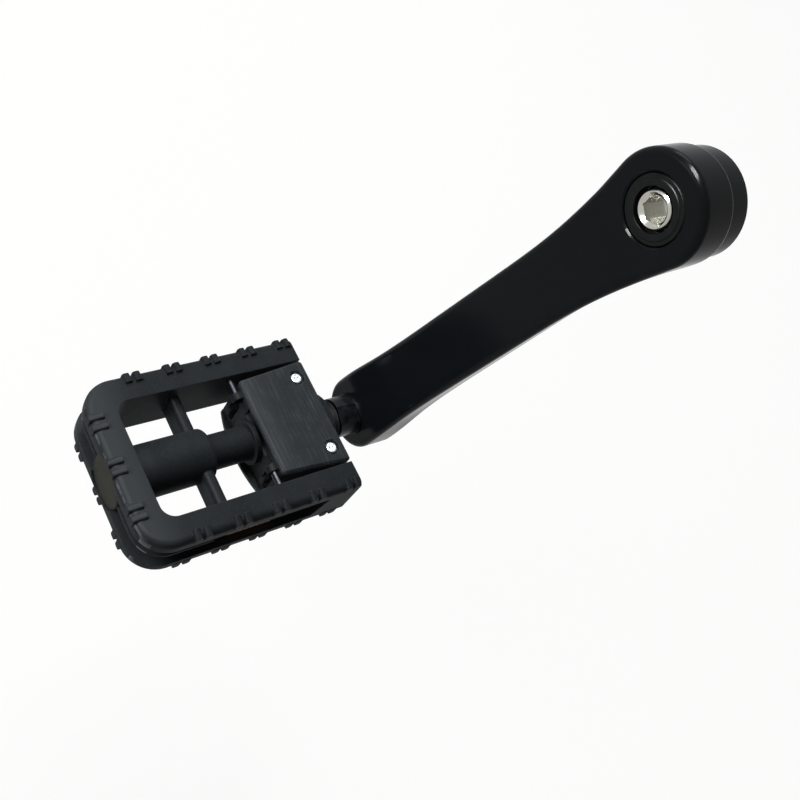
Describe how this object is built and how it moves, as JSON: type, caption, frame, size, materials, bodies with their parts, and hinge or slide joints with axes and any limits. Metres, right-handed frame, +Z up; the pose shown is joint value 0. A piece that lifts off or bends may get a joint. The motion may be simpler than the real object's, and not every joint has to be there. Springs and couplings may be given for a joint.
{
  "type": "bicycle crank arm with folding platform pedal",
  "caption": "Left crank arm with a square taper socket, carrying a platform pedal that spins on its spindle and folds up to lie flat beside the arm.",
  "frame": {"origin": "centre of the square spindle socket's mouth, on the bottom bracket axis at the back face of the boss", "axes": "+X forward along the bike, +Y outward from the bike along the bottom bracket and pedal axes, +Z up; the arm hangs down and 9.5 degrees forward, with the platform level"},
  "size_m": [0.0812, 0.1462, 0.2011],
  "materials": {
    "forged_aluminium": "semi-gloss black paint over forged aluminium",
    "zinc_steel": "bright zinc plate",
    "black_steel": "black oxide steel",
    "moulded_black": "fine matte moulded",
    "tread_black": "brushed grain moulded",
    "cap_grey": "satin moulded",
    "amber_lens": "prismatic clear amber",
    "seal_rubber": "matte black rubber"
  },
  "bodies": {
    "crank": {"crank_arm": "forged_aluminium", "crank_bolt": "zinc_steel", "extractor_ring": "black_steel", "pedal_spindle": "black_steel", "dust_seal": "seal_rubber"},
    "pedal_block": {"hinge_block": "moulded_black", "tread_plate_top": "tread_black", "tread_plate_bottom": "tread_black", "plate_screw_front": "zinc_steel", "plate_screw_rear": "zinc_steel", "plate_nut_front": "zinc_steel", "plate_nut_rear": "zinc_steel", "pivot_pin_front": "black_steel", "pivot_pin_rear": "black_steel"},
    "pedal_cage": {"cage": "moulded_black", "barrel_cap": "cap_grey", "reflector_front": "amber_lens", "reflector_rear": "amber_lens"}
  },
  "joints": [
    {"name": "pedal_spin", "type": "hinge", "parent": "crank", "child": "pedal_block", "pos_m": [0.02806, 0.055, -0.16767], "axis": [0, 1, 0], "continuous": true},
    {"name": "pedal_fold", "type": "hinge", "parent": "pedal_block", "child": "pedal_cage", "pos_m": [0.02806, 0.086, -0.16017], "axis": [1, 0, 0], "range_deg": [0, 90]}
  ]
}
